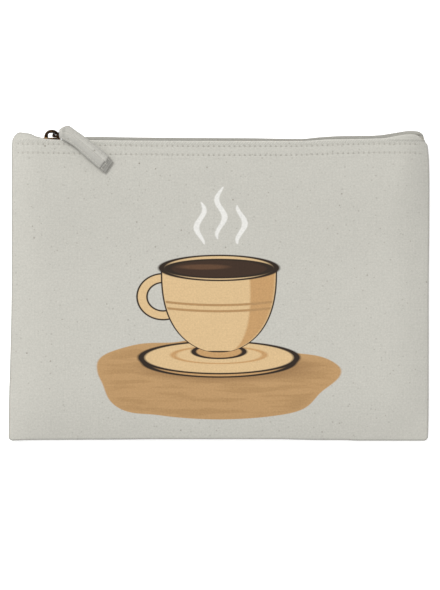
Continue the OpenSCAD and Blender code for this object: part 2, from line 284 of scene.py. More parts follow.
def shell(points, faces, cloth, thickness):
    """Gives a skin its thickness: an inner skin behind it and a rim round every open edge."""
    points, faces = np.asarray(points, float), np.asarray(faces)
    n = len(points)
    corner = points[faces]
    face_normal = np.cross(corner[:, 2] - corner[:, 0], corner[:, 3] - corner[:, 1])
    normal = np.zeros_like(points)
    for k in range(4):
        np.add.at(normal, faces[:, k], face_normal)
    normal /= np.maximum(np.linalg.norm(normal, axis=1, keepdims=True), 1e-9)
    edges = np.concatenate([faces[:, [k, (k + 1) % 4]] for k in range(4)])
    forward = edges[:, 0] * n + edges[:, 1]
    backward = edges[:, 1] * n + edges[:, 0]
    open_edges = edges[~np.isin(forward, backward)]
    a, b = open_edges.T
    rim = np.stack([b, a, a + n, b + n], -1)
    inner_cloth = np.array(cloth, float)
    inner_cloth[:, 2] = 0
    return (
        np.concatenate([points, points - normal * thickness]),
        np.concatenate([faces, faces[:, ::-1] + n, rim]),
        np.concatenate([cloth, inner_cloth]),
    )


def loft(rings, closed=False):
    """Points and faces of a tube through rings of points, with flat ends unless it is closed on itself."""
    rings = np.asarray(rings, float)
    count, around = rings.shape[:2]
    faces = grid_faces(count, around, wrap=True).tolist()
    if closed:
        last = (count - 1) * around
        for c in range(around):
            d = (c + 1) % around
            faces.append([last + c, last + d, d, c])
    else:
        faces.append(list(range(around))[::-1])
        faces.append([(count - 1) * around + c for c in range(around)])
    return rings.reshape(-1, 3), faces


def joined(parts):
    """Several (points, faces) as one."""
    points, faces, start = [], [], 0
    for p, f in parts:
        points.append(np.asarray(p, float))
        faces.extend([[int(i) + start for i in face] for face in f])
        start += len(p)
    return np.concatenate(points), faces


def tube(path, radii, sides=8, closed=False, up=(0, 0, 1)):
    """A round tube along a path."""
    path = np.asarray(path, float)
    radii = np.broadcast_to(radii, len(path))
    if closed:
        along = np.roll(path, -1, 0) - np.roll(path, 1, 0)
    else:
        along = np.gradient(path, axis=0)
    along /= np.linalg.norm(along, axis=1, keepdims=True)
    across = np.cross(along, up)
    across /= np.maximum(np.linalg.norm(across, axis=1, keepdims=True), 1e-9)
    over = np.cross(across, along)
    angle = (np.arange(sides) * 2 * np.pi / sides)[None, :, None]
    outward = np.cos(angle) * across[:, None] + np.sin(angle) * over[:, None]
    return loft(path[:, None] + radii[:, None, None] * outward, closed)


def mouth_blend(piece, weights=None):
    """Bakes a piece of the front into place and works out each point's share of the mouth's turn, from none
    at the fixed ends to all in the middle that lifts; nothing here bends it.
    """
    x = np.array([v.co.x for v in piece.data.vertices]) / MM
    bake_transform(piece)
    # The front is held at both ends of the mouth, so the share rises and falls again along the zip
    share = mouth_share(x) if weights is None else weights
    return piece


# ------------ canvas panels


def stations(low, high, step, edge_steps, far_steps=None):
    """Values from low to high, closer together at both ends."""
    far_steps = edge_steps if far_steps is None else far_steps
    first, last = low + edge_steps[-1], high - far_steps[-1]
    count = max(2, round((last - first) / step))
    middle = np.linspace(first, last, count + 1)[1:-1]
    return np.concatenate([low + np.array(edge_steps), middle, high - np.array(far_steps)[::-1]])


# Rows of points near an outer edge, as distances from it, so that its roll is round
EDGE_STEPS = [0, 0.05, 0.18, 0.4, 0.75, 1.25, 1.9]


def panel(name, xs, ys, fold_line, fold_rise, left_inset, right_inset, radii, height, cloth_sign):
    """A canvas panel with rounded corners, rolled over all round and turned in behind itself.

    height(x, y) is its outer surface. cloth_sign is 1 where the outer side is up, at the front, or else -1.
    """
    is_front = cloth_sign > 0
    x0, y0 = np.meshgrid(xs, ys, indexing="ij")
    lift = through(BOTTOM_RISE, x0) * (1 - smooth((y0 - BOTTOM) / 20))
    y = y0 + lift + through(fold_rise, x0) * smooth((y0 - fold_line + 16) / 16)
    left = -HALF_W + through(left_inset, y)
    right = HALF_W - through(right_inset, y)
    x = left + (x0 + HALF_W) / (2 * HALF_W) * (right - left)
    top = fold_line + through(fold_rise, x0)
    bottom = BOTTOM + through(BOTTOM_RISE, x0)
    d = np.minimum(np.minimum(x - left, right - x), np.minimum(y - bottom, top - y))
    in_corner = np.zeros(x.shape, bool)
    for (sx, sy), radius in radii.items():
        a = 1 - (x - left if sx < 0 else right - x) / radius
        b = 1 - (y - bottom if sy < 0 else top - y) / radius
        here = (a > 0) & (b > 0)
        a2, b2 = a * np.sqrt(np.clip(1 - b * b / 2, 0, 1)), b * np.sqrt(np.clip(1 - a * a / 2, 0, 1))
        x = np.where(here, x + sx * radius * (a2 - a), x)
        y = np.where(here, y + sy * radius * (b2 - b), y)
        d = np.where(here, radius * (1 - np.hypot(a2, b2)), d)
        in_corner |= here
    # The painted edge shade leaves out the front's folded lip, apart from its two ends
    on_lip = smooth((3 - (top - y)) / 2) * smooth(np.minimum(x - left - 16, right - x - 1) / 3) * is_front
    # Painted shade: darker along the rolled outer edges and in the crease at the foot of the right ear
    tone = 1 - EDGE_PAINTED_SHADE * (1 - smooth((d + 4 * on_lip) / EDGE_PAINTED_SHADE_W)) - 0.13 * ear_crease(x, y) * is_front
    roll = FOLD_R * (1 - np.sqrt(np.clip(1 - (1 - np.clip(d / ROLL_W, 0, 1)) ** 2, 0, 1)))
    z = height(x, y) - cloth_sign * roll
    rows, cols = x.shape
    main = np.stack([x, y, z], -1).reshape(-1, 3)
    faces = grid_faces(rows, cols)[:, ::-1] if is_front else grid_faces(rows, cols)
    cloth = np.stack([x, y, np.ones_like(x)], -1).reshape(-1, 3)

    # The turned-in layer starts from the loop of points round the panel
    number = np.arange(rows * cols).reshape(rows, cols)
    loop = np.concatenate([number[:-1, 0], number[-1, :-1], number[:0:-1, -1], number[0, :0:-1]])
    edge = main[loop]
    tangent = np.roll(edge, -1, 0)[:, :2] - np.roll(edge, 1, 0)[:, :2]
    tangent /= np.linalg.norm(tangent, axis=1, keepdims=True)
    inward = np.stack([-tangent[:, 1], tangent[:, 0]], -1)
    length = np.linalg.norm(np.roll(edge, -1, 0) - edge, axis=1)
    place = np.concatenate([[0], np.cumsum(length)[:-1]])
    gap = np.abs(place[:, None] - place[in_corner.reshape(-1)[loop]][None])
    to_corner = np.minimum(gap, length.sum() - gap).min(1)
    at_top = smooth((-inward[:, 1] - 0.3) / 0.5)
    full = SIDE_ALLOWANCE + (BOTTOM_ALLOWANCE - SIDE_ALLOWANCE) * smooth(inward[:, 1] * 2)
    full = full + (HEM_DEPTH - full) * at_top
    depth = np.minimum(full, 0.72 * min(radii.values()) + 1.1 * to_corner)
    edge_height = height(edge[:, 0], edge[:, 1])
    turns = np.linspace(0, np.pi / 2, 5)[1:]
    flats = np.linspace(0, 1, 9 if is_front else 27)[1:]
    rings = []
    for share, turn in [(0, t) for t in turns] + [(f, np.pi / 2) for f in flats]:
        offset = FOLD_R * (1 - np.cos(turn)) + share * np.maximum(depth - FOLD_R, 0)
        at = edge[:, :2] + inward * offset[:, None]
        flat_z = edge_height - cloth_sign * FOLD_R * (1 + np.sin(turn))
        hem_z = height(at[:, 0], at[:, 1]) - cloth_sign * FOLD_R * (1 + np.sin(turn))
        ring_z = flat_z * (1 - at_top) + np.minimum(hem_z, flat_z + 4) * at_top
        spread = edge[:, :2] - inward * (offset + 1.2 * turn)[:, None]
        deep = smooth(offset / 1.2)
        # Painted shade: the turned-in layer takes the edge's painted shade at the fold, and further in it is
        # plain on the front and darkened on the back
        inner_painted_shade = tone.reshape(-1)[loop] * (1 - deep) + (1 if is_front else INSIDE_PAINTED_SHADE) * deep
        # Painted shade in the gap behind the front's folded edge
        above_front = at[:, 1] - FOLD - through(FRONT_FOLD_RISE, at[:, 0])
        inner_painted_shade *= 1 - GAP_PAINTED_SHADE * np.exp(-(((above_front - 0.3) / 0.55) ** 2)) * (not is_front)
        rings.append((np.column_stack([at, ring_z]), np.column_stack([spread, np.ones(len(at))]), inner_painted_shade))
    ring_points, ring_cloth, ring_painted_shade = [np.concatenate(part) for part in zip(*rings)]
    count = len(loop)
    strip = grid_faces(len(rings), count, start=rows * cols, wrap=True)
    nxt = np.roll(loop, -1)
    first = rows * cols + np.arange(count)
    join = np.stack([loop, nxt, np.roll(first, -1), first], -1)
    under_faces = np.concatenate([join, strip])
    if is_front:
        under_faces = under_faces[:, ::-1]
    skin = np.concatenate([main, ring_points])
    skin_faces = np.concatenate([faces, under_faces])
    points, all_faces, all_cloth = shell(skin, skin_faces, np.concatenate([cloth, ring_cloth]), CLOTH_T)
    # The painted shade goes to both skins as the tone attribute
    all_painted_shade = np.tile(np.concatenate([tone.reshape(-1), ring_painted_shade]), 2)
    below_lip = lip_line(all_cloth[:, 0]) - all_cloth[:, 1]
    return make_mesh(name, points, all_faces, all_cloth, lip=below_lip, tone=all_painted_shade)


def front_canvas():
    xs = stations(-HALF_W, HALF_W, STITCH_PITCH / 4, EDGE_STEPS)
    lip_start = FOLD - 16
    body_rows = stations(BOTTOM, lip_start, 1.5, EDGE_STEPS, [0])
    lip_rows = stations(lip_start, FOLD, 0.42, [0], EDGE_STEPS)[1:]
    radii = {(-1, -1): 2.6, (1, -1): 2.4, (-1, 1): 4.6, (1, 1): 4.5}
    return panel(
        "canvas_front", xs, np.concatenate([body_rows, lip_rows]), FOLD, FRONT_FOLD_RISE,
        FRONT_LEFT_INSET, FRONT_RIGHT_INSET, radii, front_height, 1,
    )


def back_canvas():
    xs = stations(-HALF_W, HALF_W, 1.6, EDGE_STEPS)
    ys = stations(BOTTOM, BACK_FOLD, 1.6, EDGE_STEPS)
    radii = {(-1, -1): 2.6, (1, -1): 2.4, (-1, 1): 4.6, (1, 1): 3.4}
    return panel(
        "canvas_back", xs, ys, BACK_FOLD, BACK_FOLD_RISE,
        BACK_LEFT_INSET, BACK_RIGHT_INSET, radii, back_height, -1,
    )


# ------------ zip and stitching


def zip_tape(name, front):
    """One tape: flat against its hem, then turned towards the teeth. Its ends run into the corner seams."""
    sign = 1 if front else -1
    rise = FRONT_FOLD_RISE if front else BACK_FOLD_RISE
    xs = np.linspace(-HALF_W + 3, HALF_W - 3, 240)
    past_stops = smooth((np.abs(xs) - 100) / 14)
    lip = body_height(xs, np.full_like(xs, FOLD - 1))
    hem_inner = lip - 2 * FOLD_R if front else np.full_like(xs, 2 * FOLD_R)
    outer = hem_inner - sign * 0.04
    edge = np.minimum(MID_Z, lip / 2) + sign * (BITE * (1 - past_stops) + 0.12 * past_stops)
    edge = np.minimum(edge, outer) if front else np.maximum(edge, outer)
    turn_y = CHAIN_Y + TAPE_T / 2 + np.maximum(through(rise, xs), 0) * past_stops * 0.8
    y0, t = (FRONT_TAPE_LOW_Y if front else BACK_TAPE_LOW_Y), TAPE_T
    rings = []
    for x, z0, z1, y1 in zip(xs, outer, edge, turn_y):
        profile = [
            (y0, z0), (y1 - 0.5, z0), (y1 - 0.15, z0 - sign * 0.15), (y1, z0 - sign * 0.5),
            (y1, z1), (y1 - t, z1), (y1 - t, z0 - sign * (t + 0.25)), (y1 - t - 0.25, z0 - sign * t),
            (y0, z0 - sign * t),
        ]
        rings.append([(x, py, pz) for py, pz in profile])
    points, faces = loft(rings)
    if not front:
        faces = [f[::-1] for f in faces]
    cloth = np.column_stack([points[:, 0], points[:, 1] + points[:, 2] * sign, np.ones(len(points))])
    return make_mesh(name, points, faces, cloth)


def front_teeth():
    """The front tape's teeth in one piece, with each point's share of the mouth's turn."""
    parts = []
    for node in ("zip_teeth_front_left", "zip_teeth_front_middle", "zip_teeth_front_right"):
        mesh = nodes[node].data
        points = np.array([v.co for v in mesh.vertices]) / MM
        parts.append((points, [list(p.vertices) for p in mesh.polygons]))
    points, faces = joined(parts)
    piece = make_mesh("zip_teeth_front", points, faces)
    # Each tooth stays stiff, so all its points share its centre's part of the turn
    first = points[:, 0].min() + HALF_TOOTH
    centre = first + np.round((points[:, 0] - first) / TOOTH_PITCH) * TOOTH_PITCH
    return piece, mouth_share(centre)


def worn_edges(obj, width):
    """Rounds a metal piece's edges with modifiers, which leave its own mesh as it is."""
    weld = obj.modifiers.new("weld", "WELD")
    weld.merge_threshold = 1e-5
    bevel = obj.modifiers.new("edges", "BEVEL")
    bevel.width = width * MM
    bevel.segments = 2
    bevel.limit_method = "ANGLE"
    bevel.angle_limit = math.radians(35)
    bevel.harden_normals = True
    for polygon in obj.data.polygons:
        polygon.use_smooth = True


def stitch(start, end, sink, normal, radius=THREAD_R):
    """One stitch: a short thread that dives into the cloth at both ends."""
    start, end, normal = np.array(start), np.array(end), np.array(normal, float)
    share = np.array([0, 0.07, 0.2, 0.5, 0.8, 0.93, 1])
    lift = np.array([-1.6, -0.5, 0.15, 0.35, 0.15, -0.5, -1.6]) * radius - sink
    path = start + share[:, None] * (end - start) + lift[:, None] * normal
    return tube(path, radius * np.array([0.75, 0.95, 1, 1, 1, 0.95, 0.75]), 6, up=normal)


def stitch_row(name, ys, heights, sign, end=STITCH_END):
    """Rows of stitches along the zip, on a surface of the given heights, facing sign along Z."""
    parts = []
    for y_at, z_at in zip(ys, heights):
        count = int(2 * end // STITCH_PITCH)
        for i in range(-count // 2, count // 2):
            x0, x1 = (i + 0.5) * STITCH_PITCH + 0.25, (i + 1.5) * STITCH_PITCH - 0.25
            a, b = np.array([x0]), np.array([x1])
            p = (x0, y_at(a)[0], z_at(a, y_at(a))[0])
            q = (x1, y_at(b)[0], z_at(b, y_at(b))[0])
            parts.append(stitch(p, q, 0.09, (0, 0, sign)))
    return make_mesh(name, *joined(parts))


def front_topstitch():
    rows = [lambda x, r=r: lip_line(x) - r for r in STITCH_ROWS]
    return stitch_row("front_topstitch", rows, [front_height] * 2, 1)


def back_topstitch():
    """The back's two rows, seen inside on the tape and outside on the canvas."""
    rows = [lambda x, r=r: BACK_FOLD - r + 0 * x for r in STITCH_ROWS]
    tape_z = 2 * FOLD_R + TAPE_T + 0.04
    inside = stitch_row("back_topstitch_inside", rows, [lambda x, y: tape_z + 0 * x] * 2, 1, 108)
    outside = stitch_row("back_topstitch_outside", rows, [lambda x, y: 0.1 + 0 * x] * 2, -1)
    return inside, outside


def overlock(name, start, end, inward, z):
    """Thread zigzagging over a raw edge that runs from start to end, with a second thread along its loops."""
    start, end, inward = np.array(start, float), np.array(end, float), np.array(inward, float)
    length = np.linalg.norm(end - start)
    count = int(length / 1.5)
    share = np.linspace(0, 1, 2 * count + 1)
    swing = np.abs(((share * count) % 1) * 2 - 1) * 4.2
    path = start + share[:, None] * (end - start) + swing[:, None] * -inward
    zig = tube(np.column_stack([path, z + 0.1 * np.cos(share * count * 2 * np.pi)]), 0.17, 5)
    edge_line = start + share[:, None] * (end - start) + 0.15 * inward
    line = tube(np.column_stack([edge_line, z + 0.1 * np.sin(share * count * 2 * np.pi)]), 0.2, 5)
    return make_mesh(name, *joined([zig, line]))


# ------------ pull

RING_LEAN = np.array([0, -0.2756, 0.9613])
WIRE_R = 0.74
RING_EYE = np.array([-97.4, 91.8, MID_Z])
RING_REACH = 5.2
# The wire's near end reaches this far behind the axis it swings about
RING_BACK = 0.5
RING_HALF = 3.6

# The strip's two long edges from the loop on the ring to its cut end, and how far its end curls up
STRIP_LOWER = [
    (-91.3, 92.4, 9.2), (-91.6, 91.3, 12.0), (-93.2, 90.0, 14.2), (-91.4, 88.6, 15.2), (-88.6, 87.1, 15.7),
    (-85.6, 85.0, 15.7), (-82.1, 82.2, 15.6), (-78.4, 78.9, 15.4), (-74.0, 74.9, 15.0), (-67.4, 69.0, 14.2),
]
STRIP_UPPER = [
    (-91.3, 93.8, 4.3), (-92.2, 94.8, 7.8), (-93.4, 94.2, 12.2), (-91.6, 95.6, 14.2), (-88.8, 96.6, 15.4),
    (-83.8, 93.2, 15.8), (-79.0, 89.8, 15.8), (-73.9, 86.0, 15.6), (-68.8, 81.6, 15.2), (-62.7, 75.9, 14.4),
]
END_CURL = 1.2
LAYER_T = 0.62
# Heights of the full-width layers, then of the folded-in layer on top
LAYERS = (-1.02, -0.34, 0.34)
TOP_LAYER = 1.02
STRIP_ALONG = np.array([0.755, -0.656, 0])
STRIP_ACROSS = np.array([0.656, 0.755, 0])
# Where the strip is turned over on a slant, next to the ring
SLANT_PLACE = np.array([-93.6, 93.9])
SLANT_NORMAL = np.array([0.796, 0.606])


def pull_ring():
    """A bent wire ring: a rectangle with round corners."""
    corner, path = 1.3, []
    for sx, sz, start in ((1, 1, 0), (0, 1, 90), (0, -1, 180), (1, -1, 270)):
        cx = RING_REACH - corner if sx else corner - RING_BACK
        cz = sz * (RING_HALF - corner)
        for step in range(9):
            turn = math.radians(start + step * 90 / 8)
            path.append((cx + corner * math.cos(turn), cz + corner * math.sin(turn)))
    points = [RING_EYE + np.array([a, 0, 0]) + b * RING_LEAN for a, b in path]
    up = np.cross(RING_LEAN, [1, 0, 0])
    return make_mesh("pull_ring_wire", *tube(points, WIRE_R, 14, closed=True, up=up))


def strip_frame(steps=6):
    """Points along both long edges of the strip, with the direction out of its face."""
    number = np.arange(len(STRIP_LOWER))
    t = np.linspace(0, number[-1], number[-1] * steps + 1)
    edges = []
    for knots in (STRIP_LOWER, STRIP_UPPER):
        edge = np.column_stack([through(list(zip(number, column)), t) for column in np.array(knots).T])
        edge[:, 2] += END_CURL * np.clip((t - 5.4) / 3.6, 0, 1) ** 2.4
        edges.append(edge)
    lower, upper = edges
    along = np.gradient((lower + upper) / 2, axis=0)
    face = np.cross(along, upper - lower)
    face /= np.linalg.norm(face, axis=1, keepdims=True)
    return t, lower, upper, face


def read_at(places, t, values):
    """The rows of values at these places along t."""
    return np.column_stack([np.interp(places, t, column) for column in values.T])


def strip_layer(t, lower, upper, face, side_a, side_b, offset, thickness, trim):
    """One folded layer of the strip between two shares of its width."""
    keep = np.linspace(0, t[-1] - trim, len(t))
    low, high, out = [read_at(keep, t, values) for values in (lower, upper, face)]
    thin = np.minimum(1, 0.42 + 0.2 * keep)[:, None]
    half = thickness / 2
    sideways = (high - low) / np.linalg.norm(high - low, axis=1, keepdims=True)
    wave = 0.1 * np.sin(keep * 2.1 + offset * 3)[:, None]
    rings = []
    for share, sign in ((side_b, 1), (side_a, -1)):
        centre = low + share * (high - low) + wave * sideways * (1 if share in (0, 1) else 0.3)
        for turn in np.linspace(-np.pi / 2, np.pi / 2, 5):
            side_part = sideways * half * math.cos(turn) * sign * 0.9
            rings.append(centre + side_part + out * thin * half * math.sin(turn) * sign)
    rings = np.stack(rings, 1) + (out * thin * offset)[:, None]
    return loft(rings)


def pull_strip():
    """The canvas strip: folded layers sewn flat on each other, looped round the ring's far bar."""
    route = strip_frame()
    lower, upper = route[1:3]
    parts = []
    for i, offset in enumerate(LAYERS):
        parts.append(strip_layer(*route, 0.02, 0.98, offset, LAYER_T, 0.13 * i))
    parts.append(strip_layer(*route, 0.0, 0.585, TOP_LAYER, LAYER_T, 0.42))
    parts.append(strip_layer(*route, 0.635, 1.0, TOP_LAYER - 0.1, LAYER_T, 0.36))
    bar = RING_EYE + np.array([RING_REACH, 0, 0])
    ring_normal = np.cross(RING_LEAN, [1, 0, 0])
    for radius, half in ((WIRE_R + 0.5, 2.75), (WIRE_R + 0.95, 2.6)):
        flat = half - 0.1
        profile = ((0.2, flat), (0.2, -flat), (0.05, -half), (-0.2, -flat), (-0.2, flat), (0.05, half))
        rings = []
        for turn in np.linspace(0, 2 * np.pi, 33)[:-1]:
            out = np.array([1, 0, 0]) * math.cos(turn) + ring_normal * math.sin(turn)
            rings.append([bar + out * radius + out * o + RING_LEAN * w for o, w in profile])
        parts.append(loft(rings, closed=True))
    points, faces = joined(parts)
    # The weave runs along the strip, so its flat place is measured along and across it
    across = points @ STRIP_ACROSS + points[:, 2]
    cloth = np.column_stack([points @ STRIP_ALONG, across, np.ones(len(points))])
    # The curled end turns away from the light, so it is given a lighter tone
    from_end = cloth[:, 0].max() - cloth[:, 0]
    tone = 1 + 0.14 * (1 - smooth((from_end - 2.6) / 0.6))
    # Painted shade along its long edges
    middle = (lower + upper) / 2
    nearest = np.abs(points[:, None, 0:2] - middle[None, :, 0:2]).sum(2).argmin(1)
    span = upper[nearest] - lower[nearest]
    share = ((points - lower[nearest]) * span).sum(1) / (span * span).sum(1)
    to_edge = np.minimum(share, 1 - share) * np.linalg.norm(span, axis=1)
    tone *= 1 - 0.2 * (1 - smooth(to_edge / 0.7))
    # One folded edge lies along the top, with a painted highlight along it and painted shade in the gap
    # beside it
    tone *= 1 + 0.12 * np.exp(-(((share - 0.67) / 0.06) ** 2)) - 0.1 * np.exp(-(((share - 0.6) / 0.03) ** 2))
    # The slanting fold next to the ring gets a painted highlight, and the cloth behind it painted shade
    past_fold = (points[:, :2] - SLANT_PLACE) @ SLANT_NORMAL
    tone *= 1 + 0.13 * np.exp(-((past_fold / 0.4) ** 2)) - 0.1 * (1 - smooth(past_fold / 0.3))
    return make_mesh("pull_strip_canvas", points, faces, cloth, tone=tone)


def strip_stitching():
    lower, upper, face = strip_frame(12)[1:]
    parts = []
    centre = (lower + upper) / 2
    place = np.concatenate([[0], np.cumsum(np.linalg.norm(np.diff(centre, axis=0), axis=1))])
    for share, lift in ((0.1, 1.38), (0.53, 1.38), (0.9, 1.28)):
        line = lower + share * (upper - lower) + face * lift
        for start in np.arange(8.5, place[-1] - 1.5, 2.4):
            ends = read_at([start, start + 2.0], place, line)
            out = read_at([start], place, face)[0]
            parts.append(stitch(*ends, 0.05, out, 0.15))
    return make_mesh("pull_strip_stitches", *joined(parts))


# ------------ materials


def feed(tree, slot, value):
    """Gives a node's input a field, another node's output or a constant."""
    if isinstance(value, Field):
        tree.links.new(value.socket, slot)
    elif isinstance(value, bpy.types.NodeSocket):
        tree.links.new(value, slot)
    else:
        slot.default_value = value


class Field:
    """A number that varies over a surface, built from shader Math nodes."""

    def __init__(self, tree, socket):
        self.tree, self.socket = tree, socket

    def op(self, kind, *others, clamp=False):
        node = self.tree.nodes.new("ShaderNodeMath")
        node.operation, node.use_clamp = kind, clamp
        for slot, value in zip(node.inputs, (self, *others)):
            feed(self.tree, slot, value)
        return Field(self.tree, node.outputs[0])

    def __add__(self, other):
        return self.op("ADD", other)

    def __sub__(self, other):
        return self.op("SUBTRACT", other)

    def __mul__(self, other):
        return self.op("MULTIPLY", other)

    def __truediv__(self, other):
        return self.op("DIVIDE", other)

    __radd__ = __add__
    __rmul__ = __mul__

    def __rsub__(self, other):
        return self * -1 + other

    def __abs__(self):
        return self.op("ABSOLUTE")

    def most(self, other):
        return self.op("MAXIMUM", other)

    def power(self, exponent):
        return self.op("POWER", exponent)

    def sine(self):
        return self.op("SINE")

    def root(self):
        return self.most(0).op("SQRT")

    def fraction(self):
        return self.op("FRACT")

    def clamp(self):
        return self.op("ADD", 0, clamp=True)

    def inside(self, soft):
        """1 where this distance is below zero, fading over soft."""
        return (0.5 - self / soft).clamp()


class Look:
    """A material whose Principled shader is fed by fields."""

    def __init__(self, name, roughness, metallic=0.0, sheen=0.0, sheen_roughness=0.5, specular=0.3):
        self.material = bpy.data.materials.new(name)
        self.material.use_nodes = True
        self.tree = self.material.node_tree
        self.shader = self.tree.nodes["Principled BSDF"]
        for key, value in (
            ("Roughness", roughness), ("Metallic", metallic), ("Sheen Weight", sheen),
            ("Sheen Roughness", sheen_roughness), ("Specular IOR Level", specular),
        ):
            self.shader.inputs[key].default_value = value

    def attribute(self, name):
        node = self.tree.nodes.new("ShaderNodeAttribute")
        node.attribute_name = name
        return node

    def place(self):
        """The three parts of a point's place on the flat cloth, in millimetres."""
        split = self.tree.nodes.new("ShaderNodeSeparateXYZ")
        self.tree.links.new(self.attribute("cloth").outputs["Vector"], split.inputs[0])
        return [Field(self.tree, split.outputs[i]) for i in range(3)]

    def object_place(self):
        """The point's place in the object's own space, in millimetres."""
        split = self.tree.nodes.new("ShaderNodeSeparateXYZ")
        coords = self.tree.nodes.new("ShaderNodeTexCoord")
        self.tree.links.new(coords.outputs["Object"], split.inputs[0])
        return [Field(self.tree, split.outputs[i]) * 1000 for i in range(3)]

    def vector(self, x, y, z=0.0):
        node = self.tree.nodes.new("ShaderNodeCombineXYZ")
        for slot, value in zip(node.inputs, (x, y, z)):
            feed(self.tree, slot, value)
        return node.outputs[0]

    def noise(self, x, y, z=0.0, detail=2.0, roughness=0.5):
        node = self.tree.nodes.new("ShaderNodeTexNoise")
        node.inputs["Scale"].default_value = 1.0
        node.inputs["Detail"].default_value = detail
        node.inputs["Roughness"].default_value = roughness
        self.tree.links.new(self.vector(x, y, z), node.inputs["Vector"])
        return Field(self.tree, node.outputs["Fac"])

    def cells(self, x, y, size):
        """Distance to scattered points about size apart, with two random numbers for each point."""
        node = self.tree.nodes.new("ShaderNodeTexVoronoi")
        node.inputs["Scale"].default_value = 1.0
        self.tree.links.new(self.vector(x / size, y / size), node.inputs["Vector"])
        split = self.tree.nodes.new("ShaderNodeSeparateColor")
        self.tree.links.new(node.outputs["Color"], split.inputs[0])
        chance, dark = [Field(self.tree, split.outputs[i]) for i in (0, 1)]
        return Field(self.tree, node.outputs["Distance"]) * size, chance, dark

    def mix(self, share, first, second):
        """A colour between two colours. Each is an RGB triple or a colour made by this method."""
        node = self.tree.nodes.new("ShaderNodeMix")
        node.data_type = "RGBA"
        feed(self.tree, node.inputs[0], share)
        for slot, value in ((node.inputs[6], first), (node.inputs[7], second)):
            feed(self.tree, slot, (*value, 1) if isinstance(value, tuple) else value)
        return node.outputs[2]

    def scaled(self, colour, tone):
        """A colour made lighter or darker by a field."""
        node = self.tree.nodes.new("ShaderNodeVectorMath")
        node.operation = "SCALE"
        feed(self.tree, node.inputs[0], colour)
        feed(self.tree, node.inputs["Scale"], tone)
        return node.outputs[0]

    def colour(self, colour):
        self.tree.links.new(colour, self.shader.inputs["Base Color"])

    def rough(self, field):
        self.tree.links.new(field.socket, self.shader.inputs["Roughness"])

    def bump(self, height, distance):
        """height, from 0 to 1, stands for distance millimetres of relief."""
        node = self.tree.nodes.new("ShaderNodeBump")
        node.inputs["Strength"].default_value = 1.0
        node.inputs["Distance"].default_value = distance * MM
        self.tree.links.new(height.socket, node.inputs["Height"])
        self.tree.links.new(node.outputs["Normal"], self.shader.inputs["Normal"])


def rgb(red, green, blue):
    """An sRGB colour, 0 to 255, as the linear colour that a shader takes."""
    def linear(c):
        c = c / 255
        return c / 12.92 if c <= 0.04045 else ((c + 0.055) / 1.055) ** 2.4
    return linear(red), linear(green), linear(blue)


# Under the studio's lights the front looks this many times brighter than its base colour
LIGHT_LEVEL = 1.37


def seen(red, green, blue):
    """The linear colour of cloth that looks like this sRGB colour under the studio's lights."""
    return tuple(c / LIGHT_LEVEL for c in rgb(red, green, blue))


CANVAS = seen(204, 202, 193)
PULL_CANVAS = seen(200, 198, 190)
THREAD_PITCH = 0.52

PRINT_SAND = seen(194, 155, 107)
PRINT_SAND_DARK = seen(184, 146, 99)
PRINT_CUP = seen(226, 194, 146)
PRINT_CUP_SHADE = seen(203, 160, 108)
PRINT_LINE = seen(48, 37, 28)
PRINT_COFFEE = seen(64, 46, 34)
PRINT_STEAM = seen(240, 239, 234)
PRINT_SHADOW = seen(166, 129, 86)
PRINT_GLINT = seen(98, 70, 50)
HUSK = seen(104, 94, 78)
# Painted shade in the stitch holes
STITCH_HOLE_SHADE = seen(126, 121, 110)

# Specks: how far apart, the share of places without one, and how strong
SPECKS = ((11.0, 0.5, 0.75), (5.2, 0.6, 0.42), (2.6, 0.55, 0.24))
# Each thread of the weave wanders this far from its straight line
WANDER = 0.64

# The printed cup, from the middle of the cloth, and the width of its outline
CUP_TOP = 13.0
CUP_DEEP = 50.0
CUP_FOOT = -36.5
CUP_HALF_W = 34.0
INK = 0.9


def plain_weave(look, x, y):
    """Plain weave: its relief, and the tone of the thread that is on top."""
    wx = x + (look.noise(x * 0.35, y * 0.35, 3.0) - 0.5) * WANDER
    wy = y + (look.noise(x * 0.35, y * 0.35, 9.0) - 0.5) * WANDER
    crossing = (wx * (math.pi / THREAD_PITCH)).sine() * (wy * (math.pi / THREAD_PITCH)).sine()
    relief = abs(crossing).power(0.6)
    warp = look.noise(wx * 1.9, wy * 0.07, 21.0, detail=3.0)
    weft = look.noise(wx * 0.07, wy * 1.9, 33.0, detail=3.0)
    on_top = (crossing * 6 + 0.5).clamp()
    tone = warp * on_top + weft * (1 - on_top)
    return relief, tone


def ellipse(x, y, cx, cy, rx, ry):
    """Roughly the distance outside an ellipse."""
    dx, dy = (x - cx) / rx, (y - cy) / ry
    return ((dx * dx + dy * dy).root() - 1) * min(rx, ry)


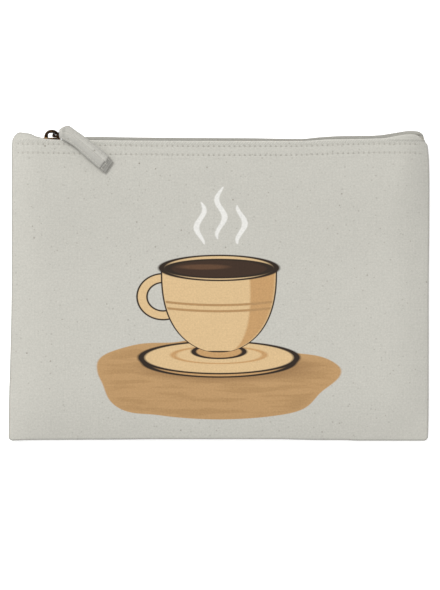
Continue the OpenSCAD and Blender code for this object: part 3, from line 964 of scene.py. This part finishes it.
def cup_print(look, x, y, colour):
    """A generic printed picture: a low cup on a saucer, steam, and an oval of sand colour behind."""

    def fill_in(colour, distance, fill, soft=0.35):
        return look.mix(distance.inside(soft), colour, fill)

    def outlined(colour, distance, fill):
        colour = fill_in(colour, distance - INK / 2, PRINT_LINE)
        return fill_in(colour, distance + INK / 2, fill)

    # A ragged patch with brush strokes, and the saucer on its shadow
    ragged = (look.noise(x * 0.03, y * 0.04, 5.0, detail=0.0) - 0.5) * 12
    ground = ellipse(x, y, 0, -53, 72, 24) + ragged
    colour = fill_in(colour, ground, PRINT_SAND)
    stroke = (0.54 - look.noise(x * 0.03, y * 0.3, 8.0)) * 30
    colour = fill_in(colour, (ground + 1.5).most(stroke), PRINT_SAND_DARK, 3.0)
    colour = fill_in(colour, ellipse(x, y, 4, -46, 50, 8), PRINT_SHADOW, 3.0)
    colour = outlined(colour, ellipse(x, y, 0, -42.5, 44, 9), PRINT_CUP_SHADE)
    colour = outlined(colour, ellipse(x, y, 0, -40, 46, 9.5), PRINT_CUP)
    colour = fill_in(colour, abs(ellipse(x, y, 0, -38.5, 27, 5)) - 0.35, PRINT_CUP_SHADE)
    colour = outlined(colour, ellipse(x, y, 0, CUP_FOOT, 15, 4), PRINT_CUP_SHADE)
    # The handle, then the bowl with a shaded side and two bands
    colour = outlined(colour, abs(ellipse(x, y, -33, -4, 12.5, 11)) - 2.6, PRINT_CUP)
    fall = ((CUP_TOP - y) / CUP_DEEP).clamp()
    side = (1 - fall.power(2.6)).root() * CUP_HALF_W
    bowl = (abs(x) - side).most(y - CUP_TOP).most(CUP_FOOT - y)
    colour = outlined(colour, bowl, PRINT_CUP)
    colour = fill_in(colour, (bowl + INK).most(side * 0.52 - x + fall * 4), PRINT_CUP_SHADE, 1.4)
    across = x / CUP_HALF_W
    for low in (-9.0, -12.6):
        line = abs(y - low + (across * across) * -2.2) - 0.7
        colour = fill_in(colour, (bowl + INK).most(line), PRINT_SAND_DARK)
    # The rim, the coffee with a glint, and three wisps of steam
    colour = outlined(colour, ellipse(x, y, 0, CUP_TOP, CUP_HALF_W, 7.4), PRINT_CUP)
    colour = outlined(colour, ellipse(x, y, 0, CUP_TOP - 0.4, CUP_HALF_W - 3.4, 5.4), PRINT_COFFEE)
    colour = fill_in(colour, ellipse(x, y, -9, CUP_TOP + 0.6, 14, 1.5), PRINT_GLINT, 0.8)
    for cx, low, high, phase in ((-11, 27, 52, 0.0), (1, 30, 61, 1.3), (13, 27, 50, 2.4)):
        share = (y - low) / (high - low)
        centre = (y * (2 * math.pi / 21) + phase).sine() * 2.3 + cx
        half = (share * (1 - share) * 4).root() * 1.75
        wisp = (abs(x - centre) - half).most(low - y).most(y - high)
        colour = fill_in(colour, wisp, PRINT_STEAM, 0.7)
    return colour


def canvas_material(name, printed=False, painted_stitch_shading=False, base=CANVAS):
    look = Look(name, roughness=0.92, sheen=0.12, sheen_roughness=0.6, specular=0.15)
    x, y, outer = look.place()
    relief, tone = plain_weave(look, x, y)
    cloud = look.noise(x * 0.11, y * 0.11, 1.0, detail=4.0, roughness=0.6)
    grain = look.noise(x * 0.95, y * 0.95, 7.0, detail=3.0, roughness=0.65)
    # The tone attribute holds painted light and painted shade, baked per point
    painted_light_and_shade = Field(look.tree, look.attribute("tone").outputs["Fac"])
    # The yarn's tone, cloud and grain are the cloth's own; the weave's relief term is painted shade between
    # the threads
    texture_and_painted_shading = (0.84 + tone * 0.18 + relief * 0.07 + (cloud - 0.5) * 0.07 + (grain - 0.5) * 0.46) * painted_light_and_shade
    colour = base
    outside = outer.op("GREATER_THAN", 0.5)
    # Specks of seed husk spun into the yarn
    for size, none, strength in SPECKS:
        distance, chance, dark = look.cells(x, y + size, size)
        speck = (distance - (dark * 0.26 + 0.3)).inside(0.25) * (chance - none).op("GREATER_THAN", 0)
        colour = look.mix(speck * (dark * 0.5 + 0.5) * strength, colour, HUSK)
    if printed:
        colour = look.mix(outside, colour, cup_print(look, x, y, colour))
    if painted_stitch_shading:
        lip = Field(look.tree, look.attribute("lip").outputs["Fac"])
        along = abs((x / STITCH_PITCH + 0.5).fraction() - 0.5) * STITCH_PITCH
        # Painted shade in each needle hole of the two stitch rows
        for row in STITCH_ROWS:
            off = lip - row
            hole_shade = ((along * along + off * off).root() - 0.5).inside(0.35) * (abs(x) - STITCH_END).inside(0.5)
            colour = look.mix(hole_shade * 0.6 * outside, colour, STITCH_HOLE_SHADE)
        # Painted highlights and painted shade in slanting ticks stand for the hemmed edge's puckers between
        # stitches, with a thin line of painted shade below them and a painted highlight along the fold
        slant = ((x + lip * 0.9) * (4 * math.pi / STITCH_PITCH)).sine()
        in_ticks = (abs(lip - 1.25) - 0.85).inside(0.4) * (abs(x) - STITCH_END).inside(2.0)
        under = (abs(lip - 2.25) - 0.15).inside(0.4) * (abs(x) - STITCH_END).inside(2.0)
        fold_painted_highlight = (abs(lip - 0.1) - 0.3).inside(0.4) * 0.05
        texture_and_painted_shading = texture_and_painted_shading * (1 + fold_painted_highlight + in_ticks * (slant * 0.07 - 0.02) - under * 0.07)
    look.colour(look.scaled(colour, texture_and_painted_shading))
    look.bump(relief * 0.55 + tone * 0.35 + grain * 0.1, 0.11)
    return look.material


def tape_material():
    look = Look("woven_tape", roughness=0.9, sheen=0.15, specular=0.15)
    x, y, _ = look.place()
    zigzag = abs((x / 3.2).fraction() - 0.5) * 3.2
    rib = ((y + zigzag) * (2 * math.pi / 0.62)).sine() * 0.5 + 0.5
    grain = look.noise(x * 2.2, y * 2.2, 4.0, detail=3.0)
    look.colour(look.scaled(seen(196, 191, 178), 0.82 + rib * 0.12 + grain * 0.12))
    look.bump(rib * 0.7 + grain * 0.3, 0.09)
    return look.material


def thread_material():
    look = Look("sewing_thread", roughness=0.75, sheen=0.2, specular=0.3)
    x, y, z = look.object_place()
    twist = ((x * 1.2 + y * 2.3 + z * 2.3) * (2 * math.pi / 0.7)).sine() * 0.5 + 0.5
    fuzz = look.noise(x * 4, y * 4, z * 4)
    look.colour(look.scaled(seen(212, 209, 199), 0.8 + twist * 0.12 + fuzz * 0.16))
    look.bump(twist * 0.8 + fuzz * 0.2, 0.05)
    return look.material


def brass_material(name, dark, bright, rubbed):
    """Antiqued brass: dark in the hollows, rubbed to bright metal along its edges."""
    look = Look(name, roughness=0.4, metallic=1.0, specular=0.5)
    x, y, z = look.object_place()
    tree = look.tree
    bevel = tree.nodes.new("ShaderNodeBevel")
    bevel.samples = 4
    bevel.inputs["Radius"].default_value = 0.35 * MM
    geometry = tree.nodes.new("ShaderNodeNewGeometry")
    dot = tree.nodes.new("ShaderNodeVectorMath")
    dot.operation = "DOT_PRODUCT"
    tree.links.new(bevel.outputs[0], dot.inputs[0])
    tree.links.new(geometry.outputs["Normal"], dot.inputs[1])
    sharp = (1 - Field(tree, dot.outputs["Value"])) * 9
    patina = look.noise(x * 1.1, y * 1.1, z * 1.1, detail=4.0, roughness=0.6)
    fine = look.noise(x * 6, y * 6, z * 6, detail=2.0)
    worn = (sharp * (0.5 + patina) + (patina - 0.62) * 3 * rubbed).clamp()
    look.colour(look.scaled(look.mix(worn, dark, bright), 0.75 + fine * 0.5))
    look.rough(0.52 - worn * 0.2 + (fine - 0.5) * 0.2)
    look.bump(patina * 0.7 + fine * 0.3, 0.03)
    return look.material


def paint(obj, material):
    """Gives an object one material."""
    obj.data.materials.clear()
    obj.data.materials.append(material)
    for polygon in obj.data.polygons:
        polygon.material_index = 0
    return obj


# ------------ assembly

printed_canvas = canvas_material("printed_canvas", printed=True, painted_stitch_shading=True)
plain_canvas = canvas_material("plain_canvas", painted_stitch_shading=True)
pull_canvas = canvas_material("pull_canvas", base=PULL_CANVAS)
tape_look = tape_material()
thread_look = thread_material()
brass = brass_material("antique_brass", rgb(58, 42, 26), rgb(196, 150, 84), 0.5)
dark_brass = brass_material("dark_antique_brass", rgb(40, 29, 20), rgb(214, 160, 92), 0.7)

front = paint(front_canvas(), printed_canvas)
mouth_blend(front)
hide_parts("front_panel_left", "front_panel_middle", "front_panel_right")

back = paint(back_canvas(), plain_canvas)
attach(back, "pouch")
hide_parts("back_panel", "left_seam_allowance", "right_seam_allowance", "bottom_seam_allowance")

tape = paint(zip_tape("zip_tape_front", True), tape_look)
mouth_blend(tape)
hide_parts("zip_tape_front_left", "zip_tape_front_middle", "zip_tape_front_right")
tape = paint(zip_tape("zip_tape_rear", False), tape_look)
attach(tape, "pouch")
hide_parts("zip_tape_back")

teeth, teeth_shares = front_teeth()
paint(teeth, brass)
mouth_blend(teeth, teeth_shares)
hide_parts("zip_teeth_front_left", "zip_teeth_front_middle", "zip_teeth_front_right")
worn_edges(teeth, 0.12)

stitches = paint(front_topstitch(), thread_look)
mouth_blend(stitches)
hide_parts("front_topstitch_left", "front_topstitch_middle", "front_topstitch_right")
for stitches in back_topstitch():
    paint(stitches, thread_look)
    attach(stitches, "pouch")
    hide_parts("back_topstitch")

side_x = HALF_W - SIDE_ALLOWANCE - 1.2
side_low, side_high = BOTTOM + 12, FOLD - 14
bottom_x, bottom_y = HALF_W - 14, BOTTOM + 7
overlock_z = 4 * FOLD_R + 0.1
for name, node, start, end, inward in (
    ("overlock_left", "left_overlock_thread", (-side_x, side_low), (-side_x, side_high), (1, 0)),
    ("overlock_right", "right_overlock_thread", (side_x, side_low), (side_x, side_high), (-1, 0)),
    ("overlock_bottom", "bottom_overlock_thread", (-bottom_x, bottom_y), (bottom_x, bottom_y), (0, 1)),
):
    thread = paint(overlock(name, start, end, inward, overlock_z), thread_look)
    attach(thread, "pouch")
    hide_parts(node)

ring = paint(pull_ring(), dark_brass)
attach(ring, "ring")
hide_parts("pull_ring")

strip = paint(pull_strip(), pull_canvas)
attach(strip, "strip")
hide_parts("pull_strip")
stitches = paint(strip_stitching(), thread_look)
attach(stitches, "strip")
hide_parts("pull_strip_stitching")

for name, width in (
    ("slider_body", 0.22), ("slider_crown", 0.3), ("zip_teeth_back", 0.12), ("zip_top_stops", 0.15),
    ("zip_bottom_stop", 0.2),
):
    metal = dark_brass if name.startswith("slider") else brass
    paint(nodes[name], metal)
    worn_edges(nodes[name], width)


# ------------ floor, light and camera


def floor():
    """A plain pale floor, lit a little from within so that it stays white."""
    half, z = 3000, -0.4
    points = [(-half, -half, z), (half, -half, z), (half, half, z), (-half, half, z)]
    piece = make_mesh("floor", points, [[0, 1, 2, 3]])
    look = Look("floor", roughness=0.8)
    look.shader.inputs["Base Color"].default_value = (0.9, 0.9, 0.9, 1)
    look.shader.inputs["Emission Color"].default_value = (1, 1, 1, 1)
    look.shader.inputs["Emission Strength"].default_value = 0.4
    piece.data.materials.append(look.material)


def area_light(name, place, size, power):
    light = bpy.data.lights.new(name, "AREA")
    light.shape = "DISK"
    light.size = size
    light.energy = power
    obj = bpy.data.objects.new(name, light)
    bpy.context.scene.collection.objects.link(obj)
    obj.location = place
    obj.rotation_euler = (-Vector(place)).to_track_quat("-Z", "Y").to_euler()


def camera():
    """Straight down on the pouch from far enough that the view is almost parallel."""
    distance, view_height, sensor = 2.0, 0.3504, 36.0
    data = bpy.data.cameras.new("camera")
    data.sensor_width = sensor
    data.lens = sensor * distance / view_height
    obj = bpy.data.objects.new("camera", data)
    bpy.context.scene.collection.objects.link(obj)
    obj.location = (0.0006, -0.003, distance)
    bpy.context.scene.camera = obj


floor()
area_light("key", (-1.75, 1.95, 3.3), size=1.9, power=150)
area_light("fill", (0.9, -0.5, 1.5), size=1.6, power=7)
world = bpy.data.worlds.new("studio")
world.use_nodes = True
world.node_tree.nodes["Background"].inputs[0].default_value = (1, 1, 1, 1)
world.node_tree.nodes["Background"].inputs[1].default_value = 0.62
bpy.context.scene.world = world
bpy.context.scene.view_settings.view_transform = "Standard"
camera()
